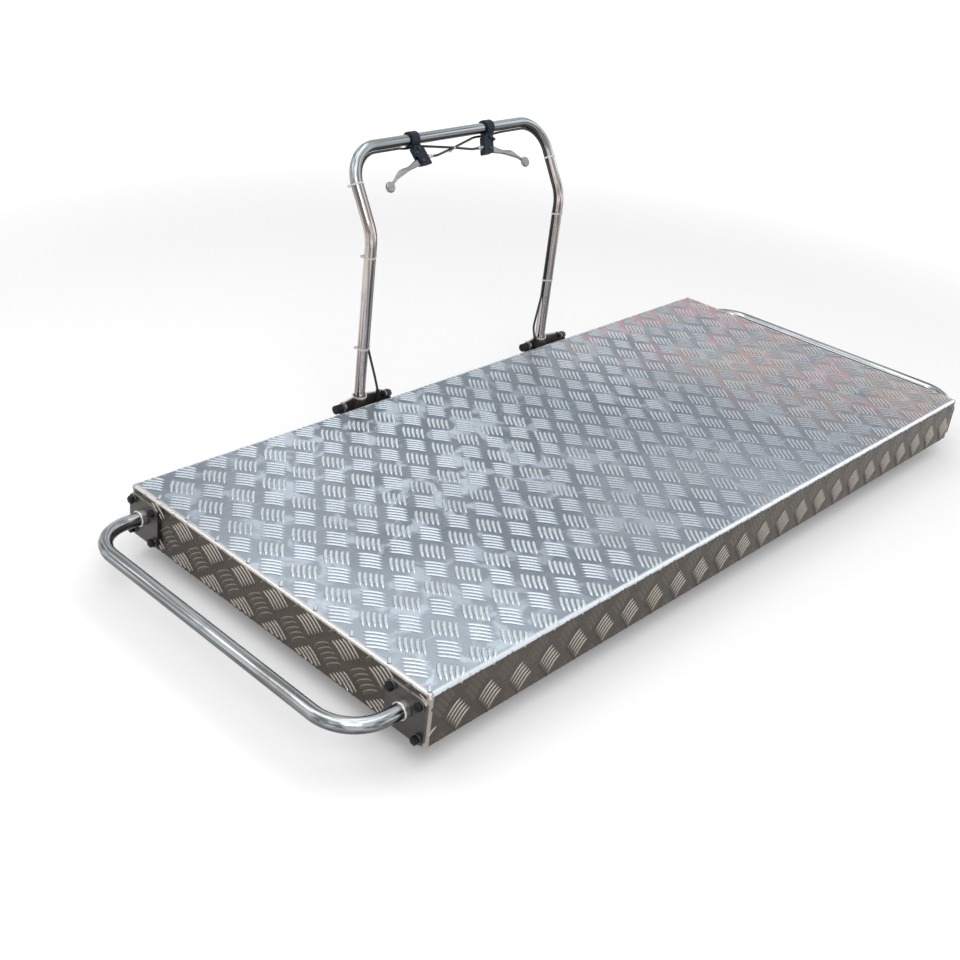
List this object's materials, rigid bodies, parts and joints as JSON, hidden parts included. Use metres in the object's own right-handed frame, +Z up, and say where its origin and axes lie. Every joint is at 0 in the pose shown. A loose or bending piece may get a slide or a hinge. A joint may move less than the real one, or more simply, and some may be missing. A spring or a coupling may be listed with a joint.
{
  "type": "folding rail trolley",
  "caption": "Low flat rail trolley with a tread-sheet deck, carry bars at the ends, flanged wheelsets underneath and a push handle with brake levers that folds down over the deck.",
  "frame": {"origin": "middle of the track between the two wheelsets, at the height of the rails' tops", "axes": "+X across the track along the deck's long side, +Y the way the handle stands, +Z up"},
  "size_m": [1.955, 0.875, 0.6532],
  "materials": {
    "tread_sheet": "mill-bright five-bar tread sheet",
    "frame_tube": "mill-finish extrusion",
    "plate": "brushed plate",
    "stainless": "polished stainless tube",
    "lever": "polished forging",
    "wheel_steel": "turned tread, painted web",
    "axle_steel": "bright bar",
    "cast": "painted casting",
    "zinc": "zinc plated",
    "black_plastic": "moulded, matt",
    "cable": "black sheath"
  },
  "bodies": {
    "chassis": {"deck_pan": "tread_sheet", "side_rail_front": "frame_tube", "side_rail_rear": "frame_tube", "end_beam_left": "frame_tube", "end_beam_right": "frame_tube", "bearing_beam_left": "frame_tube", "bearing_beam_right": "frame_tube", "foot_beam_left": "frame_tube", "foot_beam_right": "frame_tube", "middle_beam": "frame_tube", "bearing_block_front_left": "cast", "end_plate_front_left": "plate", "bearing_block_front_right": "cast", "end_plate_front_right": "plate", "bearing_block_rear_left": "cast", "end_plate_rear_left": "plate", "bearing_block_rear_right": "cast", "end_plate_rear_right": "plate", "carry_bar_left": "stainless", "hinge_bracket_left": "plate", "pivot_bolts_left": "zinc", "clamp_knob_left": "black_plastic", "brake_backplate_left": "zinc", "brake_arm_left": "zinc", "deck_cable_left": "cable", "cable_grommet_left": "black_plastic", "carry_bar_right": "stainless", "hinge_bracket_right": "plate", "pivot_bolts_right": "zinc", "clamp_knob_right": "black_plastic", "brake_backplate_right": "zinc", "brake_arm_right": "zinc", "deck_cable_right": "cable", "cable_grommet_right": "black_plastic"},
    "wheelset_front": {"axle_front": "axle_steel", "wheel_front_left": "wheel_steel", "wheel_front_right": "wheel_steel"},
    "wheelset_rear": {"axle_rear": "axle_steel", "wheel_rear_left": "wheel_steel", "wheel_rear_right": "wheel_steel", "brake_drum_left": "cast", "brake_drum_right": "cast"},
    "handle": {"handle_tube": "stainless", "handle_foot_left": "plate", "lever_bracket_left": "black_plastic", "hand_lever_left": "lever", "cable_adjuster_left": "zinc", "handle_cable_left": "cable", "handle_foot_right": "plate", "lever_bracket_right": "black_plastic", "hand_lever_right": "lever", "cable_adjuster_right": "zinc", "handle_cable_right": "cable"}
  },
  "joints": [
    {"name": "wheelset_front_spin", "type": "hinge", "parent": "chassis", "child": "wheelset_front", "pos_m": [0, -0.255, 0.05], "axis": [1, 0, 0], "continuous": true},
    {"name": "wheelset_rear_spin", "type": "hinge", "parent": "chassis", "child": "wheelset_rear", "pos_m": [0, 0.255, 0.05], "axis": [1, 0, 0], "continuous": true},
    {"name": "handle_fold", "type": "hinge", "parent": "chassis", "child": "handle", "pos_m": [0, 0.3855, 0.13], "axis": [1, 0, 0], "range_deg": [0, 90]}
  ]
}
